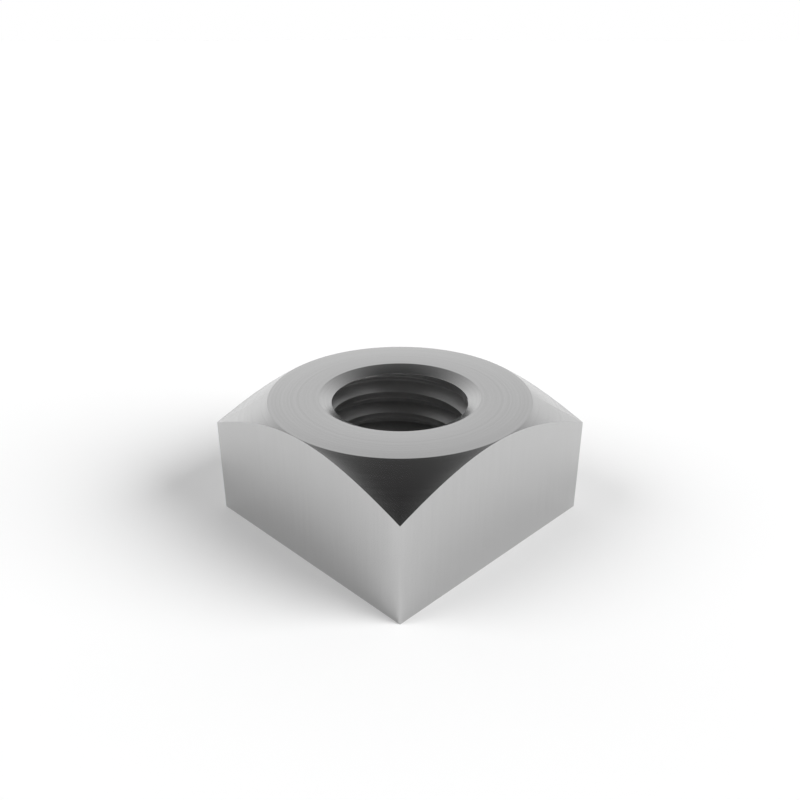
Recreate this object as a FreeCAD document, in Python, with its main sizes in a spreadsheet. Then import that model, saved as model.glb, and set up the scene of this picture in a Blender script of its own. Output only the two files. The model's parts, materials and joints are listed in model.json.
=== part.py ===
import FreeCAD, Part
import Sketcher
import os

# Square nut with a coarse 8 mm right-hand thread, chamfered on its upper face only.
# Millimetres and degrees. The origin is the centre of the underside, on the axis of the thread,
# +Z points out of the chamfered face, and the flats face along X and Y.

# Driving dimensions: name in the sheet, value, meaning
SIZES = [
    ("across_flats", 13.0, "width of the square, flat to flat"),
    ("nut_height", 6.5, "underside to upper face"),
    ("chamfer_angle", 30.0, "slope of the turned corners below the upper face"),
    ("crown_inset", 0.01, "gap between the round upper face and the middle of each flat"),
    ("thread_diameter", 8.0, "major diameter, at the bottom of the thread groove"),
    ("thread_pitch", 1.25, "rise of the thread in one turn"),
    ("flank_angle", 30.0, "slope of each side of the groove, half of the thread angle"),
    ("thread_start", 0.1025, "height of the groove's middle where it first passes the +X side"),
    ("countersink_depth", 0.33, "depth of the countersink at each end of the thread"),
    ("cutter_overrun", 0.1, "how far a cutting profile reaches past the surface that it cuts"),
]

# Worked out from the driving dimensions, as radii and heights
FLAT = "(Sizes.across_flats / 2)"
CROWN = f"({FLAT} - Sizes.crown_inset)"
BEYOND_CORNERS = "Sizes.across_flats"
MAJOR = "(Sizes.thread_diameter / 2)"
SHARP_THREAD = "(Sizes.thread_pitch / (2 * tan(Sizes.flank_angle)))"
MINOR = f"({MAJOR} - 5 / 8 * {SHARP_THREAD})"
INSIDE_BORE = f"({MINOR} - Sizes.cutter_overrun)"

ORIGIN_POINT = (-1, 1)
X_AXIS = -1
Y_AXIS = -2
START = 1
END = 2
CENTRE = 3
QUARTERS = 4
RIGHT_ANGLE = 90.0
FULL_TURN = 360.0


def make_sheet(doc):
    """Keeps the driving dimensions, one in each row: name, value and meaning."""
    sheet = doc.addObject("Spreadsheet::Sheet", "Sizes")
    for row, (name, value, meaning) in enumerate(SIZES, start=1):
        sheet.set(f"A{row}", name)
        sheet.set(f"B{row}", str(value))
        sheet.set(f"C{row}", meaning)
        sheet.setAlias(f"B{row}", name)
    doc.recompute()
    return sheet


def origin_feature(body, role):
    """A plane or axis of the body's own origin."""
    return next(item for item in body.Origin.OriginFeatures if item.Role == role)


def add_sketch(body, name, plane):
    """An empty sketch on one of the body's origin planes."""
    sketch = body.newObject("Sketcher::SketchObject", name)
    sketch.AttachmentSupport = (origin_feature(body, plane), [""])
    sketch.MapMode = "FlatFace"
    return sketch


def bind(sketch, constraint, expression):
    """Adds a dimension to a sketch and ties it to the sheet."""
    index = sketch.addConstraint(constraint)
    sketch.setExpression(f"Constraints[{index}]", expression)


def draw_outline(sketch, corners):
    """Draws a closed outline of straight sides. Each corner is two expressions, across and up."""
    places = []
    for across, up in corners:
        places.append(FreeCAD.Vector(sketch.evalExpression(across), sketch.evalExpression(up), 0))
    count = len(corners)
    for side in range(count):
        sketch.addGeometry(Part.LineSegment(places[side], places[(side + 1) % count]), False)
    for side in range(count):
        sketch.addConstraint(Sketcher.Constraint("Coincident", side, END, (side + 1) % count, START))
    for side, (across, up) in enumerate(corners):
        place = places[side]
        bind(sketch, Sketcher.Constraint("DistanceX", *ORIGIN_POINT, side, START, place.x), across)
        bind(sketch, Sketcher.Constraint("DistanceY", *ORIGIN_POINT, side, START, place.y), up)


def draw_circle_in_quarters(sketch, radius):
    """Draws a circle about the origin as four arcs that meet on the sketch's axes."""
    size = sketch.evalExpression(radius)
    axis = FreeCAD.Vector(0, 0, 1)
    circle = Part.Circle(FreeCAD.Vector(0, 0, 0), axis, size)
    for quarter in range(QUARTERS):
        first, last = circle.FirstParameter, circle.LastParameter
        step = (last - first) / QUARTERS
        arc = Part.ArcOfCircle(circle, first + quarter * step, first + (quarter + 1) * step)
        sketch.addGeometry(arc, False)
        sketch.addConstraint(Sketcher.Constraint("Coincident", quarter, CENTRE, *ORIGIN_POINT))
    sketch.addConstraint(Sketcher.Constraint("PointOnObject", 0, START, X_AXIS))
    for quarter, axis_line in enumerate((Y_AXIS, X_AXIS, Y_AXIS, X_AXIS)):
        sketch.addConstraint(Sketcher.Constraint("PointOnObject", quarter, END, axis_line))
        if quarter + 1 < QUARTERS:
            sketch.addConstraint(Sketcher.Constraint("Coincident", quarter, END, quarter + 1, START))
    bind(sketch, Sketcher.Constraint("Radius", 0, size), radius)


def add_groove(body, name, sketch):
    """Turns a ring off the body, all the way round its Z axis."""
    groove = body.newObject("PartDesign::Groove", name)
    groove.Profile = sketch
    groove.ReferenceAxis = (origin_feature(body, "Z_Axis"), [""])
    groove.Angle = FULL_TURN
    groove.Refine = False
    return groove


def add_blank(body):
    """The square blank, as cut from bar."""
    sketch = add_sketch(body, "blank_outline", "XY_Plane")
    near, far = f"-{FLAT}", FLAT
    draw_outline(sketch, [(near, near), (far, near), (far, far), (near, far)])
    blank = body.newObject("PartDesign::Pad", "blank")
    blank.Profile = sketch
    blank.setExpression("Length", "Sizes.nut_height")


def turn_corners(body):
    """Turns the four upper corners down to a cone, which leaves the round upper face."""
    above = "Sizes.nut_height + Sizes.cutter_overrun"
    inner = f"{CROWN} - Sizes.cutter_overrun / tan(Sizes.chamfer_angle)"
    below = f"Sizes.nut_height - ({BEYOND_CORNERS} - {CROWN}) * tan(Sizes.chamfer_angle)"
    sketch = add_sketch(body, "corner_cutter", "XZ_Plane")
    draw_outline(sketch, [(inner, above), (BEYOND_CORNERS, below), (BEYOND_CORNERS, above)])
    add_groove(body, "corner_chamfer", sketch)


def bore_core_hole(body):
    """Bores the hole that the thread is cut in. Its quarters keep each face of the crest short."""
    sketch = add_sketch(body, "core_circle", "XY_Plane")
    draw_circle_in_quarters(sketch, MINOR)
    hole = body.newObject("PartDesign::Pocket", "core_hole")
    hole.Profile = sketch
    hole.Type = "ThroughAll"
    hole.Reversed = True
    hole.Refine = False


def countersink(body, name, face, inward):
    """Opens one end of the hole out to the thread's major diameter, at a face's height."""
    slope = f"(Sizes.countersink_depth / ({MAJOR} - {MINOR}))"
    outside = f"{face} - {inward} * Sizes.cutter_overrun"
    mouth = f"{MAJOR} + Sizes.cutter_overrun / {slope}"
    throat = f"{face} + {inward} * (Sizes.countersink_depth + Sizes.cutter_overrun * {slope})"
    sketch = add_sketch(body, f"{name}_cutter", "XZ_Plane")
    draw_outline(sketch, [(INSIDE_BORE, outside), (mouth, outside), (INSIDE_BORE, throat)])
    add_groove(body, name, sketch)


def cut_thread(body):
    """Cuts the helical groove with the basic metric profile, from below the nut to above it."""
    middle = "Sizes.thread_start - Sizes.thread_pitch"
    half_root = "Sizes.thread_pitch / 16"
    half_mouth = f"({half_root} + ({MAJOR} - {INSIDE_BORE}) * tan(Sizes.flank_angle))"
    sketch = add_sketch(body, "thread_cutter", "XZ_Plane")
    draw_outline(
        sketch,
        [
            (INSIDE_BORE, f"{middle} - {half_mouth}"),
            (MAJOR, f"{middle} - {half_root}"),
            (MAJOR, f"{middle} + {half_root}"),
            (INSIDE_BORE, f"{middle} + {half_mouth}"),
        ],
    )
    thread = body.newObject("PartDesign::SubtractiveHelix", "thread")
    thread.Profile = sketch
    thread.ReferenceAxis = (origin_feature(body, "Z_Axis"), [""])
    thread.Mode = "pitch-height-angle"
    thread.setExpression("Pitch", "Sizes.thread_pitch")
    thread.setExpression("Height", "Sizes.nut_height + 2 * Sizes.thread_pitch")
    thread.LeftHanded = False
    thread.Refine = False


def build_square_nut(doc):
    """The nut is one piece of steel."""
    body = doc.addObject("PartDesign::Body", "square_nut")
    body.Label = "square_nut"
    body.Placement = FreeCAD.Placement()
    add_blank(body)
    doc.recompute()
    turn_corners(body)
    bore_core_hole(body)
    countersink(body, "lower_countersink", "0", "1")
    countersink(body, "upper_countersink", "Sizes.nut_height", "-1")
    doc.recompute()
    cut_thread(body)
    doc.recompute()
    return body


def check(doc, parts):
    """Stops when a feature failed or a part has no sound solid."""
    for item in doc.Objects:
        if "Invalid" in item.State or "Error" in item.State:
            raise RuntimeError(f"{item.Label} failed: {item.State}")
    for part in parts:
        shape = part.Shape
        if shape.isNull() or not shape.isValid() or len(shape.Solids) != 1:
            raise RuntimeError(f"{part.Label} has no sound solid")


def main():
    doc = FreeCAD.newDocument("square_nut")
    make_sheet(doc)
    parts = [build_square_nut(doc)]
    check(doc, parts)
    os.makedirs("parts", exist_ok=True)
    for part in parts:
        part.Shape.exportStep(f"parts/{part.Label}.step")
        print(f"{part.Label}: {part.Shape.Volume:.3f} cubic mm")


main()
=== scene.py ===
import json
import math

import bpy
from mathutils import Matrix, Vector


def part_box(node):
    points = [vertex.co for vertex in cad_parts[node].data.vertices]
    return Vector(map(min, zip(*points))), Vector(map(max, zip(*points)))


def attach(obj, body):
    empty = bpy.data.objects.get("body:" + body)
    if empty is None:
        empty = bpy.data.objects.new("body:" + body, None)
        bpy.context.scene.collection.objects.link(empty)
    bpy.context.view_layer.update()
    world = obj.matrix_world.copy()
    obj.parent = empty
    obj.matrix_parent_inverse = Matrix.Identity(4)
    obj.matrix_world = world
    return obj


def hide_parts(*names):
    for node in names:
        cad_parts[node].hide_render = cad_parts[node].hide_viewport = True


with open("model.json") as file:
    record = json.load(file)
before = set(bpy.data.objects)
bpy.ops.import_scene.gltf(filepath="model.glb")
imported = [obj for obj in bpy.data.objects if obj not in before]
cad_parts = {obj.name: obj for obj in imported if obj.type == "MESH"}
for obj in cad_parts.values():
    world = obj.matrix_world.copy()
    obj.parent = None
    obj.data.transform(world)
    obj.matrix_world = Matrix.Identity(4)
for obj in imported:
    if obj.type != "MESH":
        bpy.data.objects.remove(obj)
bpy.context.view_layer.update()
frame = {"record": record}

# Sizes of the nut, in millimetres and degrees. The width, the height and the basic core hole come from the
# frame. The thread is cut a little wide, within its tolerance, by the clearance on the radius. The crest
# height sets where the turns lie, and the thread begins the fade's length inside each countersink.
MM = 0.001
nut_low, nut_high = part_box("square_nut")
thread_mount = next(m for m in frame["record"]["mounts"] if m["name"] == "thread")
ACROSS_FLATS = (nut_high.x - nut_low.x) / MM
NUT_HEIGHT = (nut_high.z - nut_low.z) / MM
THREAD_DIAMETER = 8.0
THREAD_PITCH = 1.25
THREAD_CLEARANCE = 0.055
FLANK_ANGLE = 30.0
FLANK_SLOPE = math.tan(math.radians(FLANK_ANGLE))
BASIC_CORE_RADIUS = thread_mount["dims"]["r_mm"]
CORE_RADIUS = BASIC_CORE_RADIUS + THREAD_CLEARANCE
ROOT_RADIUS = THREAD_DIAMETER / 2 + THREAD_CLEARANCE
CREST_WIDTH = THREAD_PITCH / 4
CREST_HEIGHT = 0.7275
MOUTH_RADIUS = THREAD_DIAMETER / 2
COUNTERSINK_DEPTH = 0.33
THREAD_FADE = 0.1
CHAMFER_ANGLE = 30.0
CROWN_INSET = 0.01
CROWN_RADIUS = ACROSS_FLATS / 2 - CROWN_INSET
CORNER_RADIUS = 0.02
EDGE_BREAK = 0.003

# Marks left by the tools, in millimetres
RING_SPACING = 0.15
LINE_SPACING = 0.12
LINE_LENGTH = 4.0
MARK_DEPTH = 0.0002

# The finish. Colours are sRGB, the marks run from faint to strong in the noise that draws them, and a face
# counts as upright while its normal's height is below the lean.
TURNED_DARK = "#bdbdbd"
TURNED_LIGHT = "#c3c3c3"
# The thread's colour is a little darker than the turned faces': painted shade in the bore
THREAD_COLOUR_WITH_PAINTED_SHADE = "#b6b6b6"
ROUGHNESS_AT_FAINT_MARKS = 0.24
ROUGHNESS_AT_STRONG_MARKS = 0.2
THREAD_ROUGHNESS = 0.36
FAINT_MARK = 0.3
STRONG_MARK = 0.7
UPRIGHT_LEAN = 0.1

# How finely the skin of the nut is divided. The spread is in degrees, the merge distance in millimetres, and
# the largest cut is a share of the way from one corner of the section to the next.
SIDES = 4
COLUMNS_PER_SIDE = 90
ROWS_PER_CORNER = 4
OUTER_CORNERS = 6
THREAD_CORNERS = 4
SPREAD = 14.0
LARGEST_CUT = 0.45
MERGE_DISTANCE = 0.0001
FLAT_FACE_WEIGHT = 100

# The camera stands where the photograph was taken from, looking at a point just below the middle of the
# upper face. Its angles are in degrees, and its lengths in millimetres, but for the nearest, in metres.
CAMERA_AZIMUTH = 45.0
CAMERA_ELEVATION = 25.0
CAMERA_DISTANCE = 38.72
CAMERA_TARGET_HEIGHT = 6.183
CAMERA_LENS = 35.16
CAMERA_SENSOR = 36.0
CAMERA_NEAREST = 0.001

# The studio. Azimuths are in degrees to the left of straight ahead, as the camera looks. A lamp's light is
# a share of the plain level, and a glow's is its brightness in the middle, where 1 is white.
KEY_AZIMUTH = -107.0
KEY_ELEVATION = 31.0
KEY_WIDTH = 42.0
KEY_LIGHT = 1.13
FILL_AZIMUTH = 102.0
FILL_ELEVATION = 38.0
FILL_WIDTH = 40.0
FILL_LIGHT = 0.5
BACKDROP_GLOWS = {
    "ahead": {"azimuth": 0.0, "elevation": 15.0, "fall": 3.9, "light": 0.8},
    "left": {"azimuth": 47.0, "elevation": 5.0, "fall": 8.0, "light": 0.84},
    "right": {"azimuth": -50.0, "elevation": 5.0, "fall": 8.0, "light": 0.76},
    "high on the left": {"azimuth": 66.0, "elevation": 42.0, "fall": 20.0, "light": 0.17},
    "high on the right": {"azimuth": -66.0, "elevation": 42.0, "fall": 20.0, "light": 0.15},
}

# Glows for the camera and the metal alone: the pale room behind the photograph's camera, and the soft shapes
# of the two lamps, which the metal mirrors in place of their hard discs
SEEN_GLOWS = {
    "behind": {"azimuth": 180.0, "elevation": 8.0, "fall": 6.0, "light": 0.8},
    "behind on the left": {"azimuth": 120.0, "elevation": 8.0, "fall": 6.0, "light": 0.65},
    "behind on the right": {"azimuth": -120.0, "elevation": 8.0, "fall": 6.0, "light": 0.65},
    "key lamp": {"azimuth": KEY_AZIMUTH, "elevation": KEY_ELEVATION, "fall": 16.0, "light": 1.7},
    "fill lamp": {"azimuth": FILL_AZIMUTH, "elevation": FILL_ELEVATION, "fall": 20.0, "light": 1.5},
}
HORIZON_TOP = 2.5
HORIZON_FADE = 8.0
FLOOR_COLOUR = "#f3f3f3"
FLOOR_GLOW = 0.03
FLOOR_REACH = 4.0

MATH = "ShaderNodeMath"
WHOLE_MATH = "FunctionNodeIntegerMath"
VECTOR_MATH = "ShaderNodeVectorMath"
COMBINE = "ShaderNodeCombineXYZ"
SEPARATE = "ShaderNodeSeparateXYZ"
MAP_RANGE = "ShaderNodeMapRange"
MIX = "ShaderNodeMix"
COMPARE = "FunctionNodeCompare"
SWITCH = "GeometryNodeSwitch"


def add(tree, kind, inputs=None, **settings):
    """Adds a node with its settings, and fills or links its inputs, given by number or by name.
    A node given for an input stands for its first output in use."""
    node = tree.nodes.new(kind)
    for name, value in settings.items():
        setattr(node, name, value)
    for key, value in (inputs or {}).items():
        named = [socket for socket in node.inputs if socket.enabled and socket.name == key]
        socket = named[0] if named else node.inputs[key]
        if isinstance(value, bpy.types.Node):
            value = next(output for output in value.outputs if output.enabled)
        if isinstance(value, bpy.types.NodeSocket):
            tree.links.new(value, socket)
        else:
            socket.default_value = value
    return node


def linear(colour):
    """An sRGB hex colour, such as #8a8d8f, as linear red, green, blue and alpha."""
    parts = [int(colour[place:place + 2], 16) / 255 for place in (1, 3, 5)]
    return [p / 12.92 if p <= 0.04045 else ((p + 0.055) / 1.055) ** 2.4 for p in parts] + [1.0]


def seen_directly(tree):
    """1 for what the camera sees, straight, in the metal or through glass, and 0 for what only lights."""
    rays = add(tree, "ShaderNodeLightPath").outputs
    seen = add(tree, MATH, {0: rays["Is Camera Ray"], 1: rays["Is Glossy Ray"]}, operation="MAXIMUM")
    return add(tree, MATH, {0: seen, 1: rays["Is Transmission Ray"]}, operation="MAXIMUM")


def new_tree(name, inputs, outputs):
    """A geometry tree with named inputs and outputs. Each is a name with its socket type."""
    tree = bpy.data.node_groups.new(name, "GeometryNodeTree")
    for socket, socket_type in inputs.items():
        tree.interface.new_socket(socket, in_out="INPUT", socket_type=socket_type)
    for socket, socket_type in outputs.items():
        tree.interface.new_socket(socket, in_out="OUTPUT", socket_type=socket_type)
    return tree


def thread_radius_tree():
    """How far from the axis the thread's surface is, at a distance below the middle of a crest."""
    sizes = ["Below Crest", "Root Radius", "Core Radius", "Pitch", "Crest Width"]
    tree = new_tree(
        "Thread radius",
        {name: "NodeSocketFloat" for name in sizes},
        {"Radius": "NodeSocketFloat"},
    )
    size = add(tree, "NodeGroupInput").outputs
    half_pitch = add(tree, MATH, {0: size["Pitch"], 1: 0.5}, operation="MULTIPLY")
    half_crest = add(tree, MATH, {0: size["Crest Width"], 1: 0.5}, operation="MULTIPLY")
    depth = add(tree, MATH, {0: size["Root Radius"], 1: size["Core Radius"]}, operation="SUBTRACT")
    to_root = add(tree, MATH, {0: depth, 1: FLANK_SLOPE, 2: half_crest}, operation="MULTIPLY_ADD")
    from_crest = add(tree, MATH, {0: size["Below Crest"], 1: half_pitch}, operation="PINGPONG")
    radius = add(tree, MAP_RANGE, {
        "Value": from_crest, "From Min": half_crest, "From Max": to_root,
        "To Min": size["Core Radius"], "To Max": size["Root Radius"],
    })
    add(tree, "NodeGroupOutput", {"Radius": radius})
    return tree


def square_outline_tree():
    """Distance from the axis to the side of a square with rounded corners, and the angle round the axis.
    The columns crowd together towards the corners, where the outline turns."""
    tree = new_tree(
        "Square outline",
        {"Column": "NodeSocketInt", "Across Flats": "NodeSocketFloat", "Corner Radius": "NodeSocketFloat"},
        {"Radius": "NodeSocketFloat", "Angle": "NodeSocketFloat"},
    )
    size = add(tree, "NodeGroupInput").outputs
    side = add(tree, WHOLE_MATH, {0: size["Column"], 1: COLUMNS_PER_SIDE}, operation="DIVIDE_FLOOR")
    step = add(tree, WHOLE_MATH, {0: size["Column"], 1: COLUMNS_PER_SIDE}, operation="FLOORED_MODULO")
    along = add(tree, MAP_RANGE, {
        "Value": step, "From Max": float(COLUMNS_PER_SIDE), "To Min": -1.0, "To Max": 1.0,
    })
    even = add(tree, MATH, {0: along, 1: math.pi / SIDES}, operation="MULTIPLY")
    wave_place = add(tree, MATH, {0: along, 1: math.pi}, operation="MULTIPLY")
    wave = add(tree, MATH, {0: wave_place}, operation="SINE")
    turn = add(tree, MATH, {0: wave, 1: math.radians(SPREAD), 2: even}, operation="MULTIPLY_ADD")
    angle = add(tree, MATH, {0: side, 1: 2 * math.pi / SIDES, 2: turn}, operation="MULTIPLY_ADD")

    # On the flat the distance is half the width over the cosine. On the rounded corner it is where
    # the ray leaves the corner's circle.
    half = add(tree, MATH, {0: size["Across Flats"], 1: 0.5}, operation="MULTIPLY")
    centre = add(tree, MATH, {0: half, 1: size["Corner Radius"]}, operation="SUBTRACT")
    lean = add(tree, MATH, {0: turn}, operation="ABSOLUTE")
    cosine = add(tree, MATH, {0: lean}, operation="COSINE")
    sine = add(tree, MATH, {0: lean}, operation="SINE")
    slope = add(tree, MATH, {0: lean}, operation="TANGENT")
    flat = add(tree, MATH, {0: half, 1: cosine}, operation="DIVIDE")
    both = add(tree, MATH, {0: cosine, 1: sine}, operation="ADD")
    reach = add(tree, MATH, {0: centre, 1: both}, operation="MULTIPLY")
    reach_squared = add(tree, MATH, {0: reach, 1: reach}, operation="MULTIPLY")
    centre_squared = add(tree, MATH, {0: centre, 1: centre}, operation="MULTIPLY")
    corner_squared = add(tree, MATH, {
        0: size["Corner Radius"], 1: size["Corner Radius"],
    }, operation="MULTIPLY")
    missed = add(tree, MATH, {0: centre_squared, 1: -2.0, 2: reach_squared}, operation="MULTIPLY_ADD")
    under_root = add(tree, MATH, {0: missed, 1: corner_squared}, operation="ADD")
    root = add(tree, MATH, {0: under_root}, operation="SQRT")
    rounded = add(tree, MATH, {0: reach, 1: root}, operation="ADD")
    corner_start = add(tree, MATH, {0: centre, 1: half}, operation="DIVIDE")
    at_corner = add(tree, COMPARE, {0: slope, 1: corner_start}, operation="GREATER_THAN")
    radius = add(tree, SWITCH, {"Switch": at_corner, "False": flat, "True": rounded}, input_type="FLOAT")
    add(tree, "NodeGroupOutput", {"Radius": radius, "Angle": angle})
    return tree


def nut_tree():
    """The whole skin of the nut as one grid: columns round the axis, rows round the section.
    First a coarse grid has one row for each corner of the section, as radius, angle and height.
    Then a finer grid rounds each corner with a short curve between its two neighbours."""
    sizes = [
        "Across Flats", "Height", "Corner Radius", "Crown Radius", "Chamfer Slope", "Mouth Radius",
        "Root Radius", "Core Radius", "Pitch", "Crest Width", "Crest Height", "Countersink Depth",
        "Thread Fade", "Edge Break",
    ]
    inputs = {name: "NodeSocketFloat" for name in sizes}
    inputs["Finish"] = "NodeSocketMaterial"
    tree = new_tree("Square nut", inputs, {"Nut": "NodeSocketGeometry"})
    size = add(tree, "NodeGroupInput").outputs
    turns = math.ceil(NUT_HEIGHT / THREAD_PITCH) + 1
    thread_end = OUTER_CORNERS + turns * THREAD_CORNERS
    corners = thread_end + 1
    columns = SIDES * COLUMNS_PER_SIDE + 1
    index = add(tree, "GeometryNodeInputIndex")

    # The coarse grid's columns
    cage = add(tree, "GeometryNodeMeshGrid", {"Vertices X": columns, "Vertices Y": corners})
    column = add(tree, WHOLE_MATH, {0: index, 1: corners}, operation="DIVIDE_FLOOR")
    corner = add(tree, WHOLE_MATH, {0: index, 1: corners}, operation="FLOORED_MODULO")
    outline = add(tree, "GeometryNodeGroup", node_tree=square_outline_tree())
    tree.links.new(column.outputs[0], outline.inputs["Column"])
    for name in ("Across Flats", "Corner Radius"):
        tree.links.new(size[name], outline.inputs[name])
    side, angle = outline.outputs["Radius"], outline.outputs["Angle"]

    # The countersinks end in the core hole, and a little further in the thread begins
    upper_edge = add(tree, MATH, {0: size["Height"], 1: size["Countersink Depth"]}, operation="SUBTRACT")
    upper_start = add(tree, MATH, {0: upper_edge, 1: size["Thread Fade"]}, operation="SUBTRACT")
    lower_start = add(tree, MATH, {0: size["Countersink Depth"], 1: size["Thread Fade"]}, operation="ADD")
    lead = add(tree, MATH, {0: size["Pitch"], 1: 1 / (2 * math.pi)}, operation="MULTIPLY")
    crest = add(tree, MATH, {0: angle, 1: lead, 2: size["Crest Height"]}, operation="MULTIPLY_ADD")
    radius_tree = thread_radius_tree()
    thread_starts = []
    for level in (upper_start, lower_start):
        below_crest = add(tree, MATH, {0: crest, 1: level}, operation="SUBTRACT")
        there = add(tree, "GeometryNodeGroup", node_tree=radius_tree)
        tree.links.new(below_crest.outputs[0], there.inputs["Below Crest"])
        for name in ("Root Radius", "Core Radius", "Pitch", "Crest Width"):
            tree.links.new(size[name], there.inputs[name])
        thread_starts.append(add(tree, COMBINE, {"X": there, "Y": angle, "Z": level}))

    # The corners of the thread, from above the nut to below it
    thread_corner = add(tree, WHOLE_MATH, {0: corner, 1: OUTER_CORNERS}, operation="SUBTRACT")
    turn = add(tree, WHOLE_MATH, {0: thread_corner, 1: THREAD_CORNERS}, operation="DIVIDE_FLOOR")
    kind = add(tree, WHOLE_MATH, {0: thread_corner, 1: THREAD_CORNERS}, operation="FLOORED_MODULO")
    profile = add(tree, "GeometryNodeIndexSwitch", {"Index": kind}, data_type="VECTOR")
    half_crest = add(tree, MATH, {0: size["Crest Width"], 1: 0.5}, operation="MULTIPLY")
    depth = add(tree, MATH, {0: size["Root Radius"], 1: size["Core Radius"]}, operation="SUBTRACT")
    to_root = add(tree, MATH, {0: depth, 1: FLANK_SLOPE, 2: half_crest}, operation="MULTIPLY_ADD")
    past_root = add(tree, MATH, {0: size["Pitch"], 1: to_root}, operation="SUBTRACT")
    thread_profile = [
        (size["Core Radius"], half_crest, 1.0),
        (size["Core Radius"], half_crest, -1.0),
        (size["Root Radius"], to_root, -1.0),
        (size["Root Radius"], past_root, -1.0),
    ]
    while len(profile.index_switch_items) < len(thread_profile):
        profile.index_switch_items.new()
    for number, (radius, distance, up) in enumerate(thread_profile, start=1):
        rise = add(tree, MATH, {0: distance, 1: up}, operation="MULTIPLY")
        place = add(tree, COMBINE, {"X": radius, "Z": rise})
        tree.links.new(place.outputs[0], profile.inputs[number])

    # The highest turn lies above the nut, so that none is missing at any angle
    highest_turn = float(turns - 2)
    turns_up = add(tree, MATH, {0: highest_turn, 1: turn}, operation="SUBTRACT")
    turn_height = add(tree, MATH, {0: turns_up, 1: size["Pitch"], 2: crest}, operation="MULTIPLY_ADD")
    turn_place = add(tree, COMBINE, {"Y": angle, "Z": turn_height})
    on_thread = add(tree, VECTOR_MATH, {0: profile, 1: turn_place}, operation="ADD")
    height = add(tree, SEPARATE, {0: on_thread}).outputs["Z"]
    too_high = add(tree, COMPARE, {0: height, 1: upper_start}, operation="GREATER_THAN")
    too_low = add(tree, COMPARE, {0: height, 1: lower_start}, operation="LESS_THAN")
    below_top = add(tree, SWITCH, {
        "Switch": too_high, "False": on_thread, "True": thread_starts[0],
    }, input_type="VECTOR")
    on_wall = add(tree, SWITCH, {
        "Switch": too_low, "False": below_top, "True": thread_starts[1],
    }, input_type="VECTOR")

    # The corners outside the thread, from the lower mouth round to the upper edge of the core hole
    overhang = add(tree, MATH, {0: side, 1: size["Crown Radius"]}, operation="SUBTRACT")
    drop = add(tree, MATH, {0: overhang, 1: size["Chamfer Slope"]}, operation="MULTIPLY")
    shoulder = add(tree, MATH, {0: size["Height"], 1: drop}, operation="SUBTRACT")
    outside = [
        (size["Mouth Radius"], 0.0),
        (side, 0.0),
        (side, shoulder),
        (size["Crown Radius"], size["Height"]),
        (size["Mouth Radius"], size["Height"]),
        (size["Core Radius"], upper_edge),
    ]
    section = add(tree, "GeometryNodeIndexSwitch", data_type="VECTOR")
    while len(section.index_switch_items) < len(outside) + 1:
        section.index_switch_items.new()
    which = add(tree, WHOLE_MATH, {0: corner, 1: OUTER_CORNERS}, operation="MINIMUM")
    tree.links.new(which.outputs[0], section.inputs["Index"])
    for number, (radius, level) in enumerate(outside, start=1):
        place = add(tree, COMBINE, {"X": radius, "Y": angle, "Z": level})
        tree.links.new(place.outputs[0], section.inputs[number])
    tree.links.new(on_wall.outputs[0], section.inputs[OUTER_CORNERS + 1])
    lower_edge = add(tree, COMBINE, {"X": size["Core Radius"], "Y": angle, "Z": size["Countersink Depth"]})
    at_end = add(tree, COMPARE, {"A": corner, "B": thread_end}, data_type="INT", operation="EQUAL")
    all_round = add(tree, SWITCH, {
        "Switch": at_end, "False": section, "True": lower_edge,
    }, input_type="VECTOR")
    cage_placed = add(tree, "GeometryNodeSetPosition", {"Geometry": cage, "Position": all_round})

    # The fine grid finds its corner and that corner's two neighbours in the coarse one
    rows = corners * ROWS_PER_CORNER + 1
    skin = add(tree, "GeometryNodeMeshGrid", {"Vertices X": columns, "Vertices Y": rows})
    skin_column = add(tree, WHOLE_MATH, {0: index, 1: rows}, operation="DIVIDE_FLOOR")
    row = add(tree, WHOLE_MATH, {0: index, 1: rows}, operation="FLOORED_MODULO")
    here_number = add(tree, WHOLE_MATH, {0: row, 1: ROWS_PER_CORNER}, operation="DIVIDE_FLOOR")
    row_in_corner = add(tree, WHOLE_MATH, {0: row, 1: ROWS_PER_CORNER}, operation="FLOORED_MODULO")
    share = add(tree, MATH, {0: row_in_corner, 1: float(ROWS_PER_CORNER - 1)}, operation="DIVIDE")
    cage_position = add(tree, "GeometryNodeInputPosition")
    neighbours = []
    for offset in (-1, 0, 1):
        number = add(tree, WHOLE_MATH, {0: here_number, 1: offset}, operation="ADD")
        wrapped = add(tree, WHOLE_MATH, {0: number, 1: corners}, operation="FLOORED_MODULO")
        place = add(tree, WHOLE_MATH, {0: skin_column, 1: corners, 2: wrapped}, operation="MULTIPLY_ADD")
        neighbours.append(add(tree, "GeometryNodeSampleIndex", {
            "Geometry": cage_placed, "Value": cage_position, "Index": place,
        }, data_type="FLOAT_VECTOR"))
    before, here, after = neighbours

    # Each corner is cut back a little towards both neighbours, and a curve joins the two places
    ends = []
    for neighbour in (before, after):
        length = add(tree, VECTOR_MATH, {0: here, 1: neighbour}, operation="DISTANCE")
        reach = add(tree, MATH, {0: size["Edge Break"], 1: length}, operation="DIVIDE")
        within_half = add(tree, MATH, {0: reach, 1: LARGEST_CUT}, operation="MINIMUM")
        ends.append(add(tree, MIX, {
            "Factor": within_half, "A": here, "B": neighbour,
        }, data_type="VECTOR"))
    leaving = add(tree, MIX, {
        "Factor": share, "A": ends[0], "B": here,
    }, data_type="VECTOR")
    arriving = add(tree, MIX, {
        "Factor": share, "A": here, "B": ends[1],
    }, data_type="VECTOR")
    curve = add(tree, MIX, {
        "Factor": share, "A": leaving, "B": arriving,
    }, data_type="VECTOR")

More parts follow.
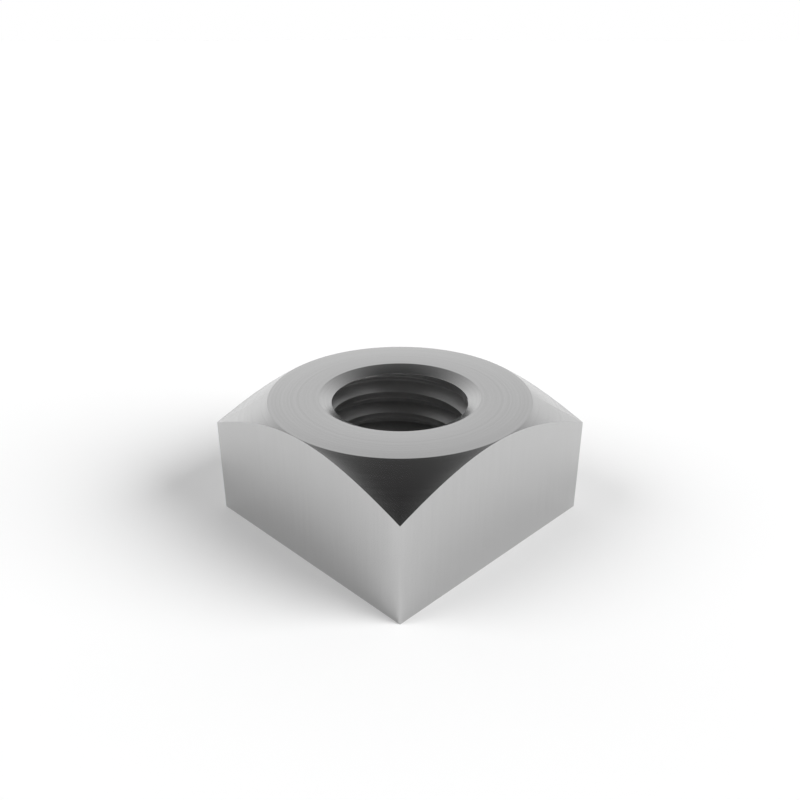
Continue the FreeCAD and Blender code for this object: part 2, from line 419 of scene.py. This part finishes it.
    # Radius, angle and height become a place in space, and the grid's ends close on each other
    parts = add(tree, SEPARATE, {0: curve}).outputs
    in_plane = add(tree, COMBINE, {"X": parts["X"], "Z": parts["Z"]})
    turned = add(tree, "ShaderNodeVectorRotate", {
        "Vector": in_plane, "Angle": parts["Y"],
    }, rotation_type="Z_AXIS")
    placed = add(tree, "GeometryNodeSetPosition", {"Geometry": skin, "Position": turned})
    closed = add(tree, "GeometryNodeMergeByDistance", {
        "Geometry": placed, "Distance": MERGE_DISTANCE,
    })
    metres = add(tree, "GeometryNodeTransform", {"Geometry": closed, "Scale": (MM, MM, MM)})
    smooth = add(tree, "GeometryNodeSetShadeSmooth", {"Geometry": metres})
    real = add(tree, "GeometryNodeRealizeInstances", {"Geometry": smooth})
    finished = add(tree, "GeometryNodeSetMaterial", {"Geometry": real, "Material": size["Finish"]})
    add(tree, "NodeGroupOutput", {"Nut": finished})
    return tree


def make_nut(finish):
    """The finished nut, with its thread and broken edges, in place of the plain solid."""
    nut = bpy.data.objects.new("nut_grower", bpy.data.meshes.new("nut_grower"))
    bpy.context.scene.collection.objects.link(nut)
    grow = nut.modifiers.new("Square nut", "NODES")
    grow.node_group = nut_tree()
    values = {
        "Across Flats": ACROSS_FLATS,
        "Height": NUT_HEIGHT,
        "Corner Radius": CORNER_RADIUS,
        "Crown Radius": CROWN_RADIUS,
        "Chamfer Slope": math.tan(math.radians(CHAMFER_ANGLE)),
        "Mouth Radius": MOUTH_RADIUS,
        "Root Radius": ROOT_RADIUS,
        "Core Radius": CORE_RADIUS,
        "Pitch": THREAD_PITCH,
        "Crest Width": CREST_WIDTH,
        "Crest Height": CREST_HEIGHT,
        "Countersink Depth": COUNTERSINK_DEPTH,
        "Thread Fade": THREAD_FADE,
        "Edge Break": EDGE_BREAK,
        "Finish": finish,
    }
    for item in grow.node_group.interface.items_tree:
        if item.in_out == "INPUT":
            grow[item.identifier] = values[item.name]
    even = nut.modifiers.new("Flat faces stay flat", "WEIGHTED_NORMAL")
    even.weight = FLAT_FACE_WEIGHT
    evaluated = nut.evaluated_get(bpy.context.evaluated_depsgraph_get())
    mesh = bpy.data.meshes.new_from_object(evaluated)
    mesh.name = "machined_nut"

    # The empty slot of the grower's own mesh comes before the steel
    mesh.materials.pop(index=0)
    bpy.data.objects.remove(nut)
    piece = bpy.data.objects.new("machined_nut", mesh)
    bpy.context.scene.collection.objects.link(piece)
    return piece


def bare_steel():
    """Bare free-cutting steel, clean and dry: a neutral light grey with a satin shine.
    Its faces, chamfer and countersinks are turned, which leaves faint rings, and its flats are bright drawn
    bar, with faint lines along the bar. The tap tears the thread a little, so it is duller. Its colour is
    also slightly darker, as painted shade in the bore."""
    material = bpy.data.materials.new("Bare machined steel")
    material.use_nodes = True
    tree = material.node_tree
    tree.nodes.clear()
    coordinates = add(tree, "ShaderNodeTexCoord").outputs
    place = add(tree, SEPARATE, {0: coordinates["Object"]}).outputs
    across = add(tree, COMBINE, {"X": place["X"], "Y": place["Y"]})
    radius = add(tree, VECTOR_MATH, {0: across}, operation="LENGTH")

    # The thread lies between the two countersinks, out to its own root
    height = add(tree, MATH, {0: place["Z"], 1: NUT_HEIGHT / 2 * MM}, operation="SUBTRACT")
    from_middle = add(tree, MATH, {0: height}, operation="ABSOLUTE")
    between = add(tree, MATH, {
        0: from_middle, 1: (NUT_HEIGHT / 2 - COUNTERSINK_DEPTH) * MM,
    }, operation="LESS_THAN")
    inside = add(tree, MATH, {0: radius, 1: (ROOT_RADIUS + EDGE_BREAK) * MM}, operation="LESS_THAN")
    tapped = add(tree, MATH, {0: between, 1: inside}, operation="MULTIPLY")

    # Real tool marks lie about 0.05 mm apart. These are drawn coarser, so that they show at all.
    rings = add(tree, "ShaderNodeTexNoise", {
        "W": radius, "Scale": 1 / (RING_SPACING * MM),
    }, noise_dimensions="1D")
    stretched = add(tree, VECTOR_MATH, {
        0: coordinates["Object"], 1: (1 / LINE_SPACING, 1 / LINE_SPACING, 1 / LINE_LENGTH),
    }, operation="MULTIPLY")
    lines = add(tree, "ShaderNodeTexNoise", {"Vector": stretched, "Scale": 1 / MM})
    normal = add(tree, SEPARATE, {0: coordinates["Normal"]}).outputs
    lean = add(tree, MATH, {0: normal["Z"]}, operation="ABSOLUTE")
    upright = add(tree, MATH, {0: lean, 1: UPRIGHT_LEAN}, operation="LESS_THAN")
    marks = add(tree, MIX, {"Factor": upright, "A": rings, "B": lines})
    depth = add(tree, "ShaderNodeBump", {"Height": marks, "Distance": MARK_DEPTH * MM})

    turned_colour = add(tree, MIX, {
        "Factor": marks, "A": linear(TURNED_DARK), "B": linear(TURNED_LIGHT),
    }, data_type="RGBA")
    # Inside the thread the colour is a little darker: painted shade in the bore
    colour = add(tree, MIX, {
        "Factor": tapped, "A": turned_colour, "B": linear(THREAD_COLOUR_WITH_PAINTED_SHADE),
    }, data_type="RGBA")
    satin = add(tree, MAP_RANGE, {
        "Value": marks,
        "From Min": FAINT_MARK,
        "From Max": STRONG_MARK,
        "To Min": ROUGHNESS_AT_FAINT_MARKS,
        "To Max": ROUGHNESS_AT_STRONG_MARKS,
    })
    roughness = add(tree, MIX, {"Factor": tapped, "A": satin, "B": THREAD_ROUGHNESS})
    shader = add(tree, "ShaderNodeBsdfPrincipled", {
        "Base Color": colour, "Metallic": 1.0, "Roughness": roughness, "Normal": depth,
    })
    add(tree, "ShaderNodeOutputMaterial", {"Surface": shader})
    return material


def direction(azimuth, elevation):
    """A direction from the nut. The azimuth is to the left of straight ahead, as the camera looks."""
    turned = math.radians(90 + CAMERA_AZIMUTH + azimuth)
    up = math.radians(elevation)
    return Vector((math.cos(turned) * math.cos(up), math.sin(turned) * math.cos(up), math.sin(up)))


def make_floor():
    """A white paper floor that runs to the horizon and keeps the nut's soft shadow.
    The camera and the metal see it a little lighter than it is lit, so that it is white."""
    material = bpy.data.materials.new("White paper floor")
    material.use_nodes = True
    tree = material.node_tree
    tree.nodes.clear()
    glow = add(tree, MATH, {0: seen_directly(tree), 1: FLOOR_GLOW}, operation="MULTIPLY")
    paper = add(tree, "ShaderNodeBsdfPrincipled", {
        "Base Color": linear(FLOOR_COLOUR), "Roughness": 1.0, "Specular IOR Level": 0.0,
        "Emission Color": linear("#ffffff"), "Emission Strength": glow,
    })
    add(tree, "ShaderNodeOutputMaterial", {"Surface": paper})
    mesh = bpy.data.meshes.new("studio_floor")
    far = FLOOR_REACH
    mesh.from_pydata([(-far, -far, 0), (far, -far, 0), (far, far, 0), (-far, far, 0)], [], [(0, 1, 2, 3)])
    mesh.materials.append(material)
    floor = bpy.data.objects.new("studio_floor", mesh)
    bpy.context.scene.collection.objects.link(floor)


def glow_strength(tree, looking, glows):
    """How bright several soft glows are together, in the direction looked at."""
    strength = 0.0
    for glow in glows.values():
        towards = direction(glow["azimuth"], glow["elevation"])
        nearness = add(tree, VECTOR_MATH, {0: looking, 1: towards}, operation="DOT_PRODUCT")
        fall = add(tree, MATH, {0: nearness, 1: glow["fall"], 2: -glow["fall"]}, operation="MULTIPLY_ADD")
        share = add(tree, MATH, {0: fall}, operation="EXPONENT")
        strength = add(tree, MATH, {0: share, 1: glow["light"], 2: strength}, operation="MULTIPLY_ADD")
    return strength


def make_backdrop():
    """The pale surroundings: soft glows all round, and a white horizon. Overhead it is dark, as the
    metal shows."""
    world = bpy.data.worlds.new("studio")
    bpy.context.scene.world = world
    world.use_nodes = True
    tree = world.node_tree
    tree.nodes.clear()
    looking = add(tree, "ShaderNodeTexCoord").outputs["Generated"]
    lighting = glow_strength(tree, looking, BACKDROP_GLOWS)

    # The white horizon and the seen glows are for the camera and the metal
    up = add(tree, SEPARATE, {0: looking}).outputs["Z"]
    horizon = add(tree, MAP_RANGE, {
        "Value": up,
        "From Min": math.sin(math.radians(HORIZON_TOP)),
        "From Max": math.sin(math.radians(HORIZON_FADE)),
        "To Min": 1.0,
        "To Max": 0.0,
    })
    seen_glow = glow_strength(tree, looking, SEEN_GLOWS)
    pale = add(tree, MATH, {0: horizon, 1: seen_glow}, operation="MAXIMUM")
    pale_seen = add(tree, MATH, {0: pale, 1: seen_directly(tree)}, operation="MULTIPLY")
    strength = add(tree, MATH, {0: lighting, 1: pale_seen}, operation="MAXIMUM")
    backdrop = add(tree, "ShaderNodeBackground", {"Color": linear("#ffffff"), "Strength": strength})
    add(tree, "ShaderNodeOutputWorld", {"Surface": backdrop})


def make_lamp(name, azimuth, elevation, width, light):
    """A large soft lamp, so far off that it lights the whole floor evenly, as a sun with a wide disc does.
    Its direction and the disc's width are in degrees.
    Its light is a share of the plain level, at which a surface that faces it looks as its colour says.
    The metal mirrors the lamp's glow in the backdrop instead, so that it doesn't clip to white."""
    lamp = bpy.data.objects.new(name, bpy.data.lights.new(name, "SUN"))
    lamp.data.energy = light * math.pi
    lamp.data.angle = math.radians(width)
    lamp.visible_glossy = False
    lamp.rotation_euler = direction(azimuth, elevation).to_track_quat("Z", "Y").to_euler()
    bpy.context.scene.collection.objects.link(lamp)


def make_camera():
    """The camera, aimed just below the middle of the nut's upper face."""
    camera = bpy.data.objects.new("photo_camera", bpy.data.cameras.new("photo_camera"))
    camera.data.lens = CAMERA_LENS
    camera.data.sensor_width = CAMERA_SENSOR
    camera.data.clip_start = CAMERA_NEAREST
    towards_camera = direction(180, CAMERA_ELEVATION)
    target = Vector((0, 0, CAMERA_TARGET_HEIGHT)) * MM
    camera.location = target + towards_camera * CAMERA_DISTANCE * MM
    camera.rotation_euler = towards_camera.to_track_quat("Z", "Y").to_euler()
    bpy.context.scene.collection.objects.link(camera)
    bpy.context.scene.camera = camera


nut = make_nut(bare_steel())
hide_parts("square_nut")
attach(nut, "root")
make_floor()
make_backdrop()
make_lamp("key_lamp", KEY_AZIMUTH, KEY_ELEVATION, KEY_WIDTH, KEY_LIGHT)
make_lamp("fill_lamp", FILL_AZIMUTH, FILL_ELEVATION, FILL_WIDTH, FILL_LIGHT)
make_camera()
bpy.context.scene.view_settings.view_transform = "Standard"
